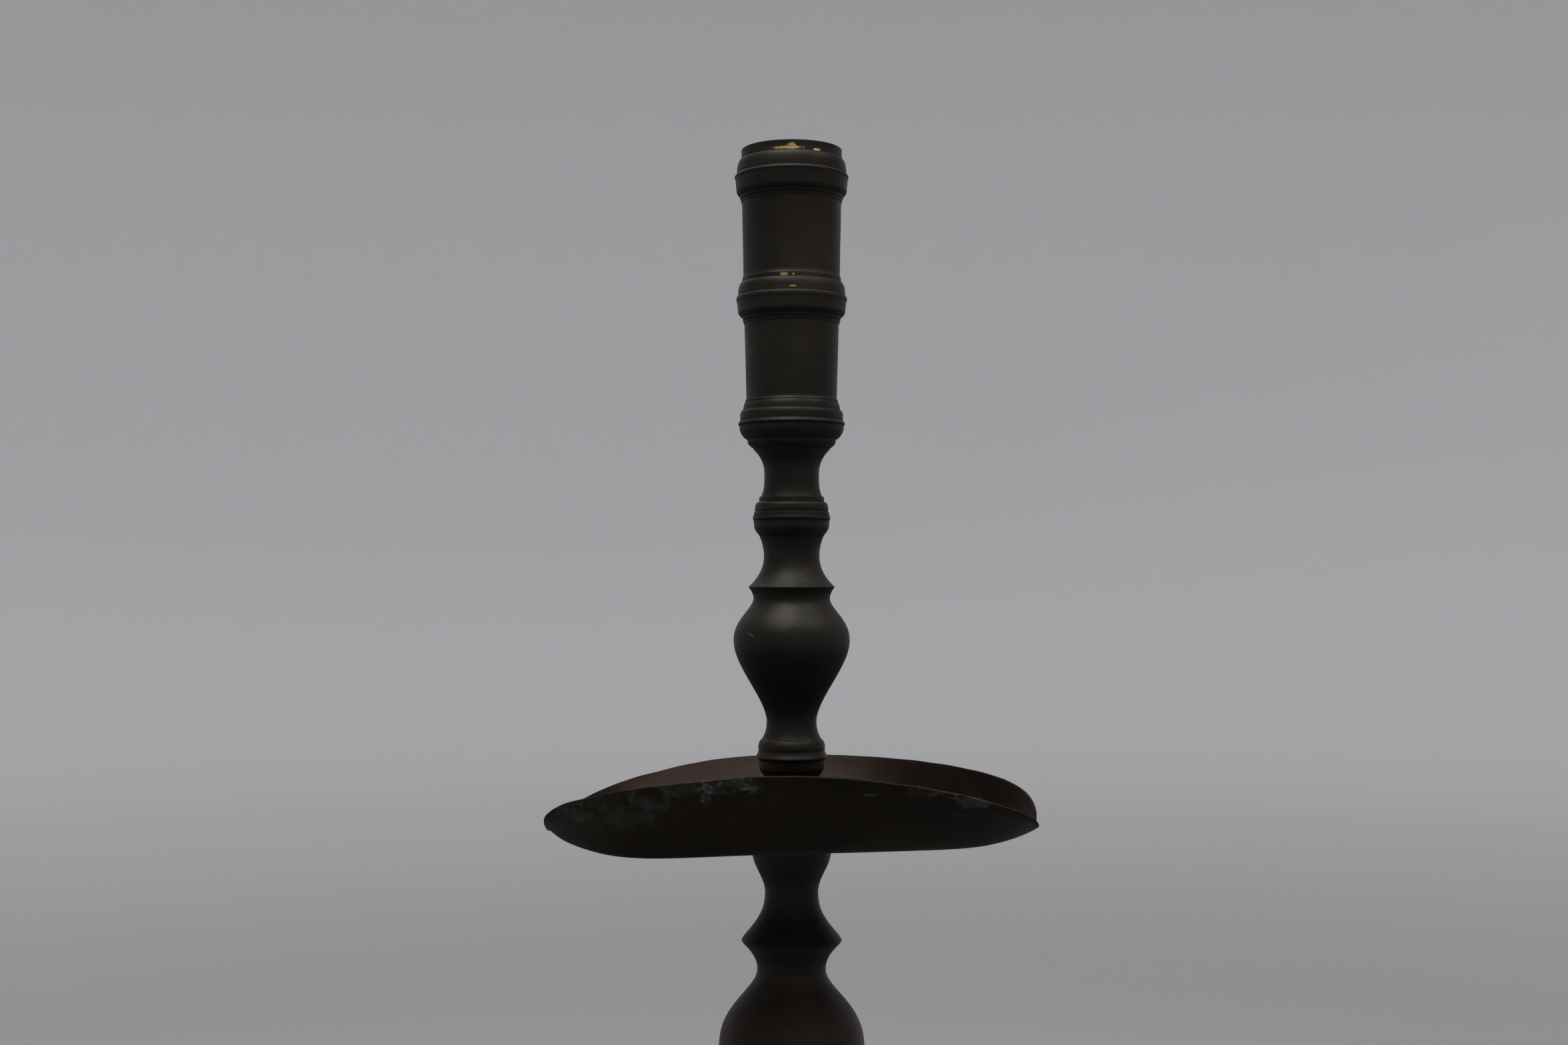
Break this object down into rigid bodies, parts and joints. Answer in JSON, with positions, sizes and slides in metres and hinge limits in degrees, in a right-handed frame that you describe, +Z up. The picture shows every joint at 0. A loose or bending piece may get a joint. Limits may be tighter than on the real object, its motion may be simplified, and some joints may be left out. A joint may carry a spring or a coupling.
{
  "type": "candlestick",
  "caption": "Tall turned candlestick of dark bronze with a long ringed candle socket, a bent drip pan on a screw joint, a baluster stem and a domed foot.",
  "frame": {"origin": "centre of the foot's rest ring on the floor", "axes": "+Z up along the stem, -Y towards the front of the object"},
  "size_m": [0.27, 0.27, 0.656],
  "materials": {
    "bronze": "satin",
    "pan_bronze": "satin",
    "iron": "rough"
  },
  "bodies": {
    "root": {"foot_dome": "bronze", "foot_collar": "bronze", "main_knop": "bronze", "pan_support": "bronze", "screw_bush": "iron", "lower_rod": "iron", "foot_washer": "iron", "foot_nut": "iron"},
    "pan": {"drip_pan": "pan_bronze"},
    "upper_stem": {"socket_top": "bronze", "socket_base": "bronze", "cup_neck": "bronze", "ring_knop": "bronze", "upper_baluster": "bronze", "pan_collar": "bronze", "upper_rod": "iron", "rod_washer": "iron", "rod_nut": "iron", "pan_ring": "iron"}
  },
  "joints": [
    {"name": "screw_lift", "type": "slide", "parent": "root", "child": "pan", "axis": [0, 0, 1], "range_m": [0, 0.0125]},
    {"name": "screw_turn", "type": "hinge", "parent": "pan", "child": "upper_stem", "pos_m": [0, 0, 0.3169], "axis": [0, 0, 1], "range_deg": [0, 1800]}
  ],
  "couplings": [
    {"joint": "screw_lift", "follows": "screw_turn", "m_per_rad": 0.00039789}
  ]
}
